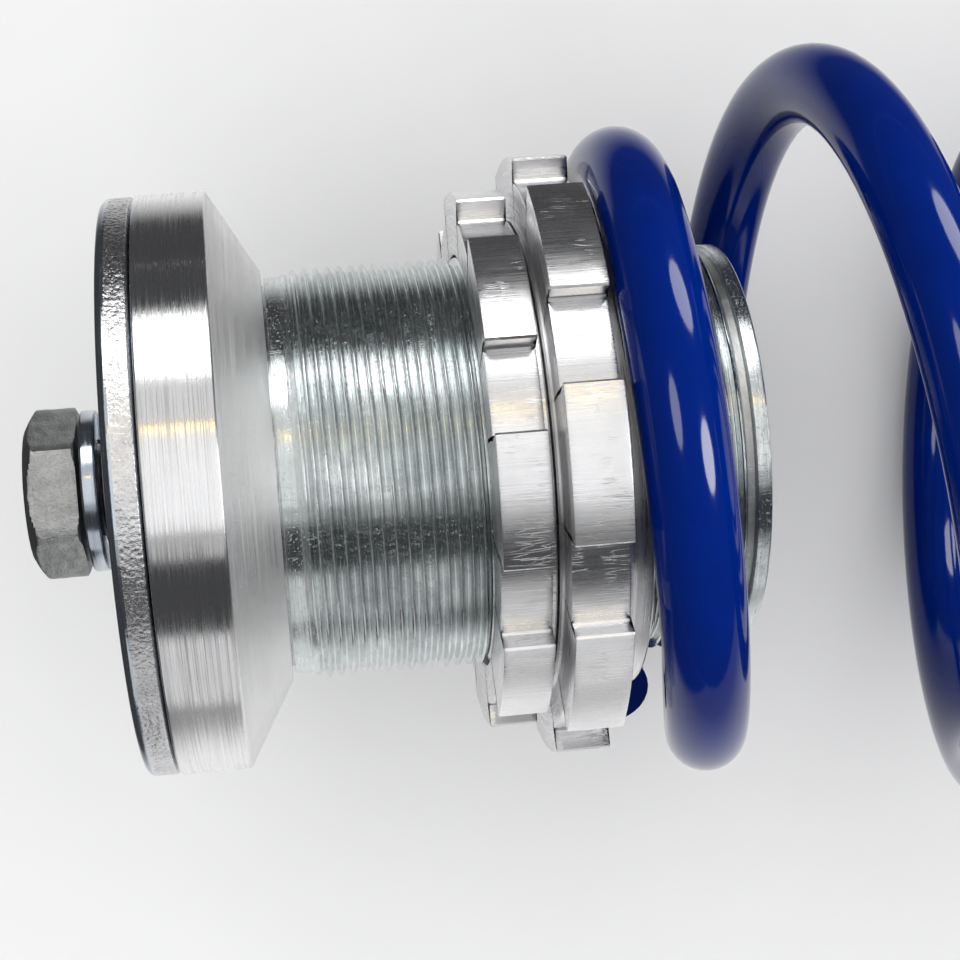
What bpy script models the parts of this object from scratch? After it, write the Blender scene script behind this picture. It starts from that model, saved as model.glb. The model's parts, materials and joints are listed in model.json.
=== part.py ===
"""Height-adjustable rear spring seat with its coil spring.

A zinc plated sleeve with an M53 x 1.5 thread stands in an aluminium base ring. An M12 bolt with a
split washer and a flat washer clamps a steel disc under that ring. Two slotted aluminium rings run
on the thread: the thick one carries the coil spring, the thin one locks it. The coil spring is
closed and ground at both ends and wider in its middle turns.

Frame: metres, +X along the axis from the bolt to the free end of the spring, +Z up, the origin in
the middle of the bounding box. Stations are millimetres along the axis, counted from the shoulder
where the sleeve's thread leaves the base ring.
"""
from math import cos, pi, radians, sin, tan

import bmesh
import bpy
from mathutils import Matrix, Vector

MM = 0.001
GAP = 0.3                       # clearance between pieces that touch

# Thread and sleeve
THREAD_R = 26.5                 # M53 x 1.5, at the crest
SLEEVE_BORE_R = 22.5
SLEEVE_FOOT_R = 24.6            # turned-down foot that sits in the base ring
SLEEVE_FOOT_LENGTH = 7.7
SLEEVE_END = 58.8
COLLAR_R = 25.9                 # plain collar at the open end
COLLAR_WIDTH = 1.8
UNDERCUT_R = 25.2
UNDERCUT_WIDTH = 1.2
EDGE = 0.4                      # small chamfer

# Base ring and clamp disc
BASE_R = 37.0
BASE_FACE = -14.8
BASE_EDGE = -6.1                # where the rim ends and the cone begins
CONE_END_R = 26.4
SOCKET_R = SLEEVE_FOOT_R + GAP
SOCKET_FLOOR = -SLEEVE_FOOT_LENGTH - GAP
DISC_R = 36.9
DISC_THICKNESS = 3.8
DISC_ROUND = 1.0
DISC_BACK = BASE_FACE - GAP
DISC_FACE = DISC_BACK - DISC_THICKNESS
SPOT_R = 11.4                   # shallow spot face under the washers
SPOT_DEPTH = 0.5

# Bolt and washers, M12
BOLT_R = 6.0
BOLT_HOLE_R = 6.5
BOLT_LENGTH = 25.0
HEX_FLATS = 19.0
HEX_HEIGHT = 6.7
WASHER_R = 10.7
WASHER_THICKNESS = 2.7
WASHER_FACE = DISC_FACE + SPOT_DEPTH - GAP - WASHER_THICKNESS
LOCK_WASHER_R = 10.4
LOCK_WASHER_THICKNESS = 2.0
LOCK_WASHER_RISE = 0.5          # how far its two ends spring apart
LOCK_WASHER_SPLIT = radians(10.0)
HEAD_SEAT = WASHER_FACE - LOCK_WASHER_THICKNESS - LOCK_WASHER_RISE - 2 * GAP
HEAD_FACE = HEAD_SEAT - HEX_HEIGHT

# Slotted rings
RING_BORE_R = THREAD_R + GAP
SLOT_COUNT = 8
LOCK_RING_R = 34.8
LOCK_RING_FACE = 24.8
LOCK_RING_WIDTH = 6.2
LOCK_RING_SLOT = 11.0           # width of a spanner slot
LOCK_RING_TURN = radians(31.2)
ADJUSTER_R = 38.8
ADJUSTER_WIDTH = 7.0
ADJUSTER_SLOT = 11.6
ADJUSTER_TURN = radians(24.7)
SLOT_DEPTH = 3.0
BOSS_R = 31.0
LOCK_BOSS = 0.7
ADJUSTER_BOSS = 0.5
ADJUSTER_FACE = LOCK_RING_FACE + LOCK_RING_WIDTH + LOCK_BOSS + GAP + ADJUSTER_BOSS
SEAT = ADJUSTER_FACE + ADJUSTER_WIDTH
SPIGOT_R = 30.6
SPIGOT_LENGTH = 4.0

# Coil spring
WIRE_R = 5.2
END_COIL_R = 36.65              # to the middle of the wire
BODY_COIL_R = 45.9
SPRING_LENGTH = 176.358         # free length
GROWTH_START = 0.79             # turn at which the end coil starts to widen
GROWTH_TURNS = 0.55             # turns over which it opens into the body
PITCH_START = 0.778             # turn at which its pitch starts to grow
PITCH_TURNS = 0.45              # turns over which it grows
CLOSED_START = 0.098            # turn at which the wire, level up to there, starts to rise
CLOSED_EASE = 0.3               # turns over which it takes up the pitch of the end coil
END_START = 4.2                 # wire centre, measured from the ground face, at the tip
END_PITCH = 13.2
BODY_PITCH = 41.0
PITCH_GAIN = BODY_PITCH - END_PITCH
LATE_START = 1.6                # turn after which the pitch and the lean ease off a little
LATE_TURNS = 0.4
PITCH_LOSS = 2.5
LEAN_LOSS = 0.25
TURNS = (SPRING_LENGTH - 2.0 * END_START + END_PITCH * (2.0 * CLOSED_START + CLOSED_EASE)
         + PITCH_GAIN * (2.0 * PITCH_START + PITCH_TURNS)
         - PITCH_LOSS * (2.0 * LATE_START + LATE_TURNS)) / (BODY_PITCH - PITCH_LOSS)
COIL_LEAN = radians(5.6)        # the body turns lean this far from square
LEAN_TURNS = 0.6                # turns over which the lean grows
TIP_ANGLE = radians(204.0)      # from +Y towards +Z
STEPS_PER_TURN = 24
WIRE_SIDES = 12
SPRING_FACE = SEAT + GAP

ROUND_STEPS = 64


def eased(turn, start, length):
    """Turns gone since a start, with the first turns eased in over a length."""
    past = turn - start
    blend = min(max(past / length, 0.0), 1.0)
    return length * (blend ** 3 - blend ** 4 / 2.0) + max(past - length, 0.0)


def spring_rise(turn):
    """Wire centre above the ground end, in mm, at a number of turns from that end."""
    closed = END_START + END_PITCH * eased(turn, CLOSED_START, CLOSED_EASE)
    opened = PITCH_GAIN * eased(turn, PITCH_START, PITCH_TURNS)
    return closed + opened - PITCH_LOSS * eased(turn, LATE_START, LATE_TURNS)


TOTAL_START = HEAD_FACE
TOTAL_END = SPRING_FACE + SPRING_LENGTH
MIDDLE = 0.5 * (TOTAL_START + TOTAL_END)


def smooth(value):
    """Smooth step from 0 to 1."""
    value = min(max(value, 0.0), 1.0)
    return value * value * (3.0 - 2.0 * value)


def clear_scene():
    """Remove every object of the scene."""
    for item in list(bpy.data.objects):
        bpy.data.objects.remove(item, do_unlink=True)


def make_material(name, colour, roughness, metallic, coat=0.0):
    """Return a Principled material."""
    material = bpy.data.materials.new(name)
    material.use_nodes = True
    shader = material.node_tree.nodes["Principled BSDF"]
    shader.inputs["Base Color"].default_value = (*colour, 1.0)
    shader.inputs["Roughness"].default_value = roughness
    shader.inputs["Metallic"].default_value = metallic
    shader.inputs["Coat Weight"].default_value = coat
    return material


def add_object(name, shape, material, station):
    """Turn a bmesh in local millimetres into an object that stands on the axis at a station."""
    bmesh.ops.recalc_face_normals(shape, faces=shape.faces)
    bmesh.ops.scale(shape, vec=(MM, MM, MM), verts=shape.verts)
    mesh = bpy.data.meshes.new(name)
    shape.to_mesh(mesh)
    shape.free()
    mesh.shade_smooth()
    mesh.set_sharp_from_angle(angle=radians(35.0))
    item = bpy.data.objects.new(name, mesh)
    if material is not None:
        mesh.materials.append(material)
    item.location = ((station - MIDDLE) * MM, 0.0, 0.0)
    bpy.context.scene.collection.objects.link(item)
    return item


def turn_profile(profile, steps=ROUND_STEPS):
    """Turn a closed outline of (x, radius) points about the X axis; it keeps off the axis."""
    shape = bmesh.new()
    points = [shape.verts.new((x, radius, 0.0)) for x, radius in profile]
    edges = [shape.edges.new((points[i - 1], points[i])) for i in range(len(points))]
    bmesh.ops.spin(shape, geom=points + edges, cent=(0, 0, 0), axis=(1, 0, 0), dvec=(0, 0, 0),
                   angle=2.0 * pi, steps=steps, use_merge=True, use_duplicate=False)
    bmesh.ops.remove_doubles(shape, verts=shape.verts, dist=1e-4)
    return shape


def solid_rod(radius_points, steps):
    """Turn an open outline of (x, radius) points about the X axis and close both ends."""
    shape = bmesh.new()
    rings = []
    for x, radius in radius_points:
        ring = [shape.verts.new((x, radius * cos(2 * pi * k / steps), radius * sin(2 * pi * k / steps)))
                for k in range(steps)]
        rings.append(ring)
    for first, second in zip(rings, rings[1:]):
        for k in range(steps):
            shape.faces.new((first[k - 1], first[k], second[k], second[k - 1]))
    shape.faces.new(rings[0])
    shape.faces.new(rings[-1])
    return shape


def add_cutter(name, shape, station):
    """Add a shape that only takes part in Booleans."""
    cutter = add_object(name, shape, None, station)
    cutter.hide_render = True
    cutter.display_type = "WIRE"
    return cutter


def combine(item, other, operation):
    """Add an exact Boolean modifier."""
    modifier = item.modifiers.new(operation.title(), "BOOLEAN")
    modifier.operation = operation
    modifier.solver = "EXACT"
    modifier.object = other


def arc_points(centre_x, centre_r, radius, start, stop, count):
    """Points of an arc in the (x, radius) plane, angles in degrees from +X."""
    angles = [radians(start + (stop - start) * k / count) for k in range(count + 1)]
    return [(centre_x + radius * cos(a), centre_r + radius * sin(a)) for a in angles]


def build_bolt(zinc):
    """Hexagon head bolt, its thread left plain."""
    hex_r = HEX_FLATS / (2.0 * cos(pi / 6.0))
    hexagon = solid_rod([(0.0, hex_r), (HEX_HEIGHT, hex_r)], 6)
    bolt = add_object("hex_bolt", hexagon, zinc, HEAD_FACE)
    chamfer = hex_r - HEX_FLATS / 2.0
    slope = tan(radians(30.0))
    crown = solid_rod([(0.0, hex_r - 1.3 * chamfer),
                       (1.3 * chamfer * slope, hex_r),
                       (HEX_HEIGHT - 0.5 * chamfer * slope, hex_r + 0.01),
                       (HEX_HEIGHT, hex_r - 0.5 * chamfer)], ROUND_STEPS)
    combine(bolt, add_cutter("bolt_crown_guide", crown, HEAD_FACE), "INTERSECT")
    shank_end = HEX_HEIGHT + BOLT_LENGTH
    shank = solid_rod([(HEX_HEIGHT - 1.0, BOLT_R), (shank_end - 1.0, BOLT_R), (shank_end, BOLT_R - 1.0)], 32)
    combine(bolt, add_cutter("bolt_shank_guide", shank, HEAD_FACE), "UNION")


def build_lock_washer(zinc):
    """Split washer whose ends stand a little apart."""
    shape = bmesh.new()
    steps = 40
    sweep = 2.0 * pi - LOCK_WASHER_SPLIT
    rings = []
    for k in range(steps + 1):
        angle = LOCK_WASHER_SPLIT / 2.0 + sweep * k / steps
        rise = LOCK_WASHER_RISE * k / steps
        section = ((rise, BOLT_HOLE_R), (rise, LOCK_WASHER_R),
                   (rise + LOCK_WASHER_THICKNESS, LOCK_WASHER_R),
                   (rise + LOCK_WASHER_THICKNESS, BOLT_HOLE_R))
        rings.append([shape.verts.new((x, r * cos(angle), r * sin(angle))) for x, r in section])
    for first, second in zip(rings, rings[1:]):
        for k in range(4):
            shape.faces.new((first[k - 1], first[k], second[k], second[k - 1]))
    shape.faces.new(rings[0])
    shape.faces.new(rings[-1])
    add_object("split_lock_washer", shape, zinc, HEAD_SEAT + GAP)


def build_flat_washer(zinc):
    """Plain washer with broken edges."""
    thick = WASHER_THICKNESS
    profile = [(0.0, BOLT_HOLE_R), (0.0, WASHER_R - EDGE), (EDGE, WASHER_R),
               (thick - EDGE, WASHER_R), (thick, WASHER_R - EDGE), (thick, BOLT_HOLE_R)]
    add_object("flat_washer", turn_profile(profile, 48), zinc, WASHER_FACE)


def build_disc(zinc):
    """Clamp disc with a rounded outer edge and a spot face for the washers."""
    rim = arc_points(DISC_ROUND, DISC_R - DISC_ROUND, DISC_ROUND, 180.0, 90.0, 4)
    profile = [(SPOT_DEPTH, BOLT_HOLE_R), (SPOT_DEPTH, SPOT_R), (0.0, SPOT_R)]
    profile += rim
    profile += [(DISC_THICKNESS - EDGE, DISC_R), (DISC_THICKNESS, DISC_R - EDGE),
                (DISC_THICKNESS, BOLT_HOLE_R)]
    add_object("clamp_disc", turn_profile(profile), zinc, DISC_FACE)


def build_base_ring(aluminium):
    """Base ring: a rim, a cone, a socket for the sleeve and a web with the bolt's hole."""
    profile = [(BASE_FACE, BOLT_HOLE_R), (BASE_FACE, BASE_R - EDGE), (BASE_FACE + EDGE, BASE_R),
               (BASE_EDGE - EDGE, BASE_R), (BASE_EDGE + EDGE, BASE_R - EDGE),
               (0.0, CONE_END_R), (0.0, SOCKET_R), (SOCKET_FLOOR, SOCKET_R), (SOCKET_FLOOR, BOLT_HOLE_R)]
    profile = [(x - BASE_FACE, radius) for x, radius in profile]
    add_object("base_ring", turn_profile(profile), aluminium, BASE_FACE)


def build_sleeve(zinc):
    """Sleeve, its thread left plain at the crest diameter."""
    foot = -SLEEVE_FOOT_LENGTH
    collar = SLEEVE_END - COLLAR_WIDTH
    undercut = collar - UNDERCUT_WIDTH
    profile = [(foot, SLEEVE_BORE_R), (foot, SLEEVE_FOOT_R), (GAP, SLEEVE_FOOT_R), (GAP, THREAD_R),
               (undercut, THREAD_R), (undercut + EDGE, UNDERCUT_R), (collar, UNDERCUT_R),
               (collar, COLLAR_R), (SLEEVE_END - EDGE, COLLAR_R), (SLEEVE_END, COLLAR_R - EDGE),
               (SLEEVE_END, SLEEVE_BORE_R + EDGE), (SLEEVE_END - EDGE, SLEEVE_BORE_R)]
    profile = [(x - foot, radius) for x, radius in profile]
    add_object("threaded_sleeve", turn_profile(profile), zinc, foot)


def slot_cutters(ring_r, slot_width, width, turn):
    """One mesh with a box for each spanner slot; its boxes stand apart from each other."""
    shape = bmesh.new()
    floor_r = ring_r - SLOT_DEPTH
    box_height = 3.0 * SLOT_DEPTH
    for k in range(SLOT_COUNT):
        placed = Matrix.Rotation(turn + 2.0 * pi * k / SLOT_COUNT, 4, "X")
        placed = placed @ Matrix.Translation(Vector((width / 2.0, 0.0, floor_r + box_height / 2.0)))
        placed = placed @ Matrix.Diagonal(Vector((width + 4.0, slot_width, box_height, 1.0)))
        bmesh.ops.create_cube(shape, size=1.0, matrix=placed)
    return shape


def build_lock_ring(aluminium):
    """Thin slotted ring with a low boss towards the adjuster ring."""
    width = LOCK_RING_WIDTH
    profile = [(0.0, RING_BORE_R), (0.0, LOCK_RING_R - EDGE), (EDGE, LOCK_RING_R),
               (width - EDGE, LOCK_RING_R), (width, LOCK_RING_R - EDGE), (width, BOSS_R),
               (width + LOCK_BOSS, BOSS_R), (width + LOCK_BOSS, RING_BORE_R)]
    ring = add_object("lock_ring", turn_profile(profile), aluminium, LOCK_RING_FACE)
    boxes = slot_cutters(LOCK_RING_R, LOCK_RING_SLOT, width, LOCK_RING_TURN)
    combine(ring, add_cutter("lock_ring_slots", boxes, LOCK_RING_FACE), "DIFFERENCE")


def build_adjuster_ring(aluminium):
    """Thick slotted ring with the spring's seat and a spigot that centres the end coil."""
    width = ADJUSTER_WIDTH
    spigot = width + SPIGOT_LENGTH
    profile = [(-ADJUSTER_BOSS, RING_BORE_R), (-ADJUSTER_BOSS, BOSS_R), (0.0, BOSS_R),
               (0.0, ADJUSTER_R - EDGE), (EDGE, ADJUSTER_R),
               (width - EDGE, ADJUSTER_R), (width, ADJUSTER_R - EDGE), (width, SPIGOT_R),
               (spigot - EDGE, SPIGOT_R), (spigot, SPIGOT_R - EDGE), (spigot, RING_BORE_R)]
    ring = add_object("adjuster_ring", turn_profile(profile), aluminium, ADJUSTER_FACE)
    boxes = slot_cutters(ADJUSTER_R, ADJUSTER_SLOT, width, ADJUSTER_TURN)
    combine(ring, add_cutter("adjuster_ring_slots", boxes, ADJUSTER_FACE), "DIFFERENCE")


def wire_centre(turn):
    """Middle of the wire at a number of turns from the seated tip."""
    from_end = min(turn, TURNS - turn)
    opened = smooth((from_end - GROWTH_START) / GROWTH_TURNS)
    radius = END_COIL_R + (BODY_COIL_R - END_COIL_R) * opened
    rise = spring_rise(from_end)
    if turn > TURNS / 2.0:
        rise = SPRING_LENGTH - rise
    angle = TIP_ANGLE + 2.0 * pi * turn
    lean = tan(COIL_LEAN) * smooth(from_end / LEAN_TURNS)
    lean *= 1.0 - LEAN_LOSS * smooth((from_end - LATE_START) / (1.5 * LATE_TURNS))
    up = radius * sin(angle)
    return Vector((rise - lean * up, radius * cos(angle), up))


def build_spring(paint):
    """Coil spring: a round wire along the coil, then both ends ground flat."""
    shape = bmesh.new()
    rings = []
    step_count = round(TURNS * STEPS_PER_TURN)
    for k in range(step_count + 1):
        turn = TURNS * k / step_count
        centre = wire_centre(turn)
        angle = TIP_ANGLE + 2.0 * pi * turn
        outward = Vector((0.0, cos(angle), sin(angle)))
        ring = []
        for j in range(WIRE_SIDES):
            around = 2.0 * pi * j / WIRE_SIDES
            offset = outward * (WIRE_R * cos(around)) + Vector((WIRE_R * sin(around), 0.0, 0.0))
            ring.append(shape.verts.new(centre + offset))
        rings.append(ring)
    for first, second in zip(rings, rings[1:]):
        for j in range(WIRE_SIDES):
            shape.faces.new((first[j - 1], first[j], second[j], second[j - 1]))
    shape.faces.new(rings[0])
    shape.faces.new(rings[-1])
    for station, direction in ((0.0, -1.0), (SPRING_LENGTH, 1.0)):
        everything = shape.verts[:] + shape.edges[:] + shape.faces[:]
        cut = bmesh.ops.bisect_plane(shape, geom=everything, dist=1e-5, plane_co=(station, 0, 0),
                                     plane_no=(direction, 0, 0), clear_outer=True)
        rim = [part for part in cut["geom_cut"] if isinstance(part, bmesh.types.BMEdge)]
        bmesh.ops.contextual_create(shape, geom=rim)
    add_object("coil_spring", shape, paint, SPRING_FACE)


def main():
    """Build every piece."""
    clear_scene()
    zinc = make_material("zinc_plated_steel", (0.62, 0.64, 0.66), 0.28, 1.0)
    blue_zinc = make_material("blue_zinc_sleeve", (0.55, 0.60, 0.62), 0.25, 1.0)
    aluminium = make_material("turned_aluminium", (0.83, 0.83, 0.84), 0.24, 1.0)
    paint = make_material("blue_powder_coat", (0.004, 0.02, 0.32), 0.2, 0.0, coat=0.6)
    build_bolt(zinc)
    build_lock_washer(zinc)
    build_flat_washer(zinc)
    build_disc(zinc)
    build_base_ring(aluminium)
    build_sleeve(blue_zinc)
    build_lock_ring(aluminium)
    build_adjuster_ring(aluminium)
    build_spring(paint)


main()
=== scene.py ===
"""Height-adjustable rear spring perch with its coil spring, dressed for a studio picture.

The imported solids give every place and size. This script rebuilds each piece at full detail around
them: a real helical thread on the sleeve, a sawn edge on the clamp disc, turned and milled faces with
broken edges on the aluminium pieces, and a smooth coated wire.
"""

import json
import logging
from collections.abc import Callable
from dataclasses import dataclass, field
from enum import Enum
from functools import cache
from math import asin, atan2, cos, hypot, pi, radians, sin, tan

import bmesh
import bpy
from mathutils import Matrix, Vector, noise

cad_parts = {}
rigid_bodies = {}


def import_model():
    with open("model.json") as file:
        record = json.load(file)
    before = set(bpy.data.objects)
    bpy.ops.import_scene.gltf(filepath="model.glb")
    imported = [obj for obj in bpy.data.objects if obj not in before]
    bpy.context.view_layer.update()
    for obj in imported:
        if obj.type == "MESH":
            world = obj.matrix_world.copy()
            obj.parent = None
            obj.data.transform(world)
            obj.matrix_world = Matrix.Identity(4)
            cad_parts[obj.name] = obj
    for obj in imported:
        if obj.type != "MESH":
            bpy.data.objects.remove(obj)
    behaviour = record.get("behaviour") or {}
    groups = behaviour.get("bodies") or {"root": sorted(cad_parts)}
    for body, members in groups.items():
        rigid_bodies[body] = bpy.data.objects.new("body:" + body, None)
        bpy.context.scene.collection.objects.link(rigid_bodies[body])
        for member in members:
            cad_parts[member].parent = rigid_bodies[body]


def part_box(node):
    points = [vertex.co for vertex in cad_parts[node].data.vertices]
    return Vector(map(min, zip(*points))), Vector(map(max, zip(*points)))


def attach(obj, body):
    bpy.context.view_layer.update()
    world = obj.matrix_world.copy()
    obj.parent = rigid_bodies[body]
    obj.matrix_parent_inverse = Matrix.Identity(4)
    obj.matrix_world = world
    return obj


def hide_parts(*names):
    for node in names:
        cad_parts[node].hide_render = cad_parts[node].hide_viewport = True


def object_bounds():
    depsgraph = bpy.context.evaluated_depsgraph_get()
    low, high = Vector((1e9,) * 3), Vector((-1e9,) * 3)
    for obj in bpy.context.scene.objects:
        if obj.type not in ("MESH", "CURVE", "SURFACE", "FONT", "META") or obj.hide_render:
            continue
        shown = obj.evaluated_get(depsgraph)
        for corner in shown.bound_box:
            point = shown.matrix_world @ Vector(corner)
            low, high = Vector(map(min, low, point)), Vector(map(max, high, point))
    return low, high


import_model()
CAD_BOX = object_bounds()
LOG = logging.getLogger("spring_perch")

Point = tuple[float, float]
Colour = tuple[float, float, float]
Feed = bpy.types.NodeSocket | float | tuple[float, ...]

MM = 0.001
TURN = 2.0 * pi
CAD_GAP = 0.3 * MM  # left between solids that touch in the real object
SHARP_ANGLE = 40.0
TINY = 1e-7
# The axis runs along X. Each mesh is stored with the axis along its own Z, and its object turns it back,
# so that brushed metal takes its direction around the axis.
TO_AXIS = Matrix(((0, 0, -1, 0), (0, 1, 0, 0), (1, 0, 0, 0), (0, 0, 0, 1)))
ACROSS_THE_LINES = 0.25  # anisotropic rotation, in turns


# --------------------------------------------------------------------------- meshes

class Mesher:
    """Functions that turn outlines and grids of points into objects."""

    @staticmethod
    def rounded(corners: list[tuple[float, float, float]], steps: int = 3) -> list[Point]:
        """Round the corners of an outline.

        Args:
            corners: (x, radius, corner radius) in metres, in order around a closed outline.
            steps: straight pieces in each rounded corner.

        Returns:
            The outline's points.
        """
        points: list[Point] = []
        count = len(corners)
        for index, (x, r, size) in enumerate(corners):
            if size <= 0.0:
                points.append((x, r))
                continue
            before, after = corners[index - 1], corners[(index + 1) % count]
            corner = Vector((x, r))
            to_before = Vector(before[:2]) - corner
            to_after = Vector(after[:2]) - corner
            reach = min(size, 0.45 * to_before.length, 0.45 * to_after.length)
            start = corner + to_before.normalized() * reach
            stop = corner + to_after.normalized() * reach
            for t in (step / steps for step in range(steps + 1)):
                bend = start * (1 - t) ** 2 + corner * (2 * t * (1 - t)) + stop * t ** 2
                points.append((bend.x, bend.y))
        return points

    @staticmethod
    def divided(outline: list[Point], longest: float) -> list[Point]:
        """Split the long sides of a closed outline.

        Args:
            outline: points of the outline.
            longest: the longest side that may stay, in metres.

        Returns:
            The outline with more points.
        """
        points: list[Point] = []
        for index, (x, r) in enumerate(outline):
            nx, nr = outline[(index + 1) % len(outline)]
            pieces = max(1, int(hypot(nx - x, nr - r) / longest + 0.999))
            points += [(x + (nx - x) * k / pieces, r + (nr - r) * k / pieces) for k in range(pieces)]
        return points

    @staticmethod
    def grid(name: str, rows: list[list[Vector]], close_rows: bool,
             sharp: float = SHARP_ANGLE) -> bpy.types.Object:
        """Make an object from rows of points; each row is closed on itself.

        Args:
            name: the object's name.
            rows: rows of equal length.
            close_rows: join the last row to the first, and otherwise close both ends with a face.
            sharp: edges that bend more than this many degrees stay sharp.

        Returns:
            The linked object, with its faces pointing out.
        """
        wide, high = len(rows[0]), len(rows)
        points = [tuple(point) for row in rows for point in row]
        faces = []
        for i in range(high if close_rows else high - 1):
            for j in range(wide):
                i2, j2 = (i + 1) % high, (j + 1) % wide
                faces.append((i * wide + j, i * wide + j2, i2 * wide + j2, i2 * wide + j))
        if not close_rows:
            faces.append(tuple(range(wide)))
            faces.append(tuple((high - 1) * wide + j for j in reversed(range(wide))))
        mesh = bpy.data.meshes.new(name)
        mesh.from_pydata(points, [], faces)
        shape = bmesh.new()
        shape.from_mesh(mesh)
        bmesh.ops.recalc_face_normals(shape, faces=shape.faces)
        shape.to_mesh(mesh)
        shape.free()
        mesh.shade_smooth()
        mesh.set_sharp_from_angle(angle=radians(sharp))
        item = bpy.data.objects.new(name, mesh)
        bpy.context.scene.collection.objects.link(item)
        return item

    @staticmethod
    def lathe(name: str, outline: list[Point], segments: int, sharp: float,
              shift: Callable[[float, float, float], Point] | None = None) -> bpy.types.Object:
        """Turn a closed outline about the X axis.

        Args:
            name: the object's name.
            outline: (x, radius) points in metres.
            segments: divisions around.
            sharp: edges that bend more than this many degrees stay sharp.
            shift: optional function of (x, radius, angle) that returns a new (x, radius).

        Returns:
            The object.
        """
        rows = []
        for x, r in outline:
            row = []
            for k in range(segments):
                angle = TURN * k / segments
                px, pr = shift(x, r, angle) if shift else (x, r)
                row.append(Vector((px, pr * cos(angle), pr * sin(angle))))
            rows.append(row)
        return Mesher.grid(name, rows, True, sharp)


def smooth(value: float) -> float:
    """Smooth step from 0 to 1."""
    value = min(max(value, 0.0), 1.0)
    return value * value * (3.0 - 2.0 * value)


# --------------------------------------------------------------------------- materials

def rgba(colour: Colour, share: float = 1.0) -> tuple[float, ...]:
    """Scale a colour and give it an alpha of 1."""
    return (*(share * part for part in colour), 1.0)


class NodeGraph:
    """Short calls for building a node tree."""

    def __init__(self, tree: bpy.types.NodeTree) -> None:
        """Keep the tree."""
        self.tree = tree

    def add(self, kind: str, inputs: dict[str | int, Feed] | None = None,
            **settings: object) -> bpy.types.Node:
        """Add a node.

        Args:
            kind: the node's type.
            inputs: what to link or set, by each input's name or place.
            settings: properties of the node.

        Returns:
            The node.
        """
        node = self.tree.nodes.new(kind)
        for key, value in settings.items():
            setattr(node, key, value)
        self.feed(node, inputs or {})
        return node

    def feed(self, node: bpy.types.Node, inputs: dict[str | int, Feed]) -> None:
        """Link sockets to a node's inputs, or set the inputs' own values.

        Args:
            node: the node.
            inputs: a socket or a value for each input, by its name or place.
        """
        for key, value in inputs.items():
            if isinstance(value, bpy.types.NodeSocket):
                self.tree.links.new(value, node.inputs[key])
            else:
                node.inputs[key].default_value = value

    def math(self, operation: str, first: Feed, second: Feed = 0.0) -> bpy.types.NodeSocket:
        """Add a Math node and return its output."""
        return self.add("ShaderNodeMath", {0: first, 1: second}, operation=operation).outputs[0]

    def plus(self, first: Feed, second: Feed) -> bpy.types.NodeSocket:
        """Add two values."""
        return self.math("ADD", first, second)

    def minus(self, first: Feed, second: Feed) -> bpy.types.NodeSocket:
        """Take the second value from the first."""
        return self.math("SUBTRACT", first, second)

    def times(self, first: Feed, second: Feed) -> bpy.types.NodeSocket:
        """Multiply two values."""
        return self.math("MULTIPLY", first, second)

    def larger(self, first: Feed, second: Feed) -> bpy.types.NodeSocket:
        """Return the larger of two values."""
        return self.math("MAXIMUM", first, second)

    def fit(self, value: Feed, low: Feed, high: Feed, new_low: float = 0.0,
            new_high: float = 1.0) -> bpy.types.NodeSocket:
        """Map a value from one range to another, clamped.

        Args:
            value: the value.
            low: what becomes new_low.
            high: what becomes new_high.
            new_low: one end of the new range.
            new_high: its other end.

        Returns:
            The mapped value.
        """
        inputs = {"Value": value, "From Min": low, "From Max": high, "To Min": new_low, "To Max": new_high}
        return self.add("ShaderNodeMapRange", inputs).outputs["Result"]

    def colour_mix(self, factor: Feed, first: Feed, second: Feed) -> bpy.types.NodeSocket:
        """Mix two colours; the factor is the second one's share."""
        node = self.add("ShaderNodeMix", {0: factor, 6: first, 7: second}, data_type="RGBA")
        return node.outputs[2]

    def noise(self, vector: Feed, scale: float, detail: float, roughness: float) -> bpy.types.NodeSocket:
        """Add a Noise texture and return its value."""
        inputs = {"Vector": vector, "Scale": scale, "Detail": detail, "Roughness": roughness}
        return self.add("ShaderNodeTexNoise", inputs).outputs["Fac"]

    def combine(self, x: Feed, y: Feed, z: Feed) -> bpy.types.NodeSocket:
        """Combine three values into a vector."""
        return self.add("ShaderNodeCombineXYZ", {0: x, 1: y, 2: z}).outputs[0]

    def split(self, vector: Feed) -> tuple[bpy.types.NodeSocket, ...]:
        """Split a vector into its three values."""
        return tuple(self.add("ShaderNodeSeparateXYZ", {0: vector}).outputs)

    def place(self) -> bpy.types.NodeSocket:
        """Return the piece's own coordinates."""
        return self.add("ShaderNodeTexCoord").outputs["Object"]


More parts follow.
